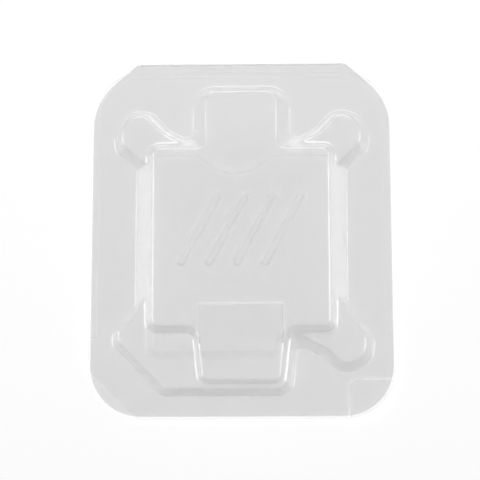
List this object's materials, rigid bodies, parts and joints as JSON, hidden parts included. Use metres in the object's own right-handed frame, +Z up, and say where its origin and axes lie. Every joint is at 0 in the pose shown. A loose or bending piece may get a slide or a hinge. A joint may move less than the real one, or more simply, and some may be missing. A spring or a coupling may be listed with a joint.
{
  "type": "clamshell pack",
  "caption": "Clear thermoformed clamshell tray with a hinged domed lid that holds a square chip package between a low platform and a raised ceiling.",
  "frame": {"origin": "middle of the closed pack's footprint, on the face that it lies on", "axes": "+Y towards the hinge, +X along the hinge to the right seen from above, +Z up out of the lid"},
  "size_m": [0.06, 0.0722, 0.0091],
  "materials": {
    "clear_film": "clear gloss"
  },
  "bodies": {
    "tray": {"tray_shell": "clear_film"},
    "lid": {"lid_shell": "clear_film"}
  },
  "joints": [
    {"name": "lid_hinge", "type": "hinge", "parent": "tray", "child": "lid", "pos_m": [0, 0.0361, 0.0004], "axis": [-1, 0, 0], "range_deg": [0, 140]}
  ]
}
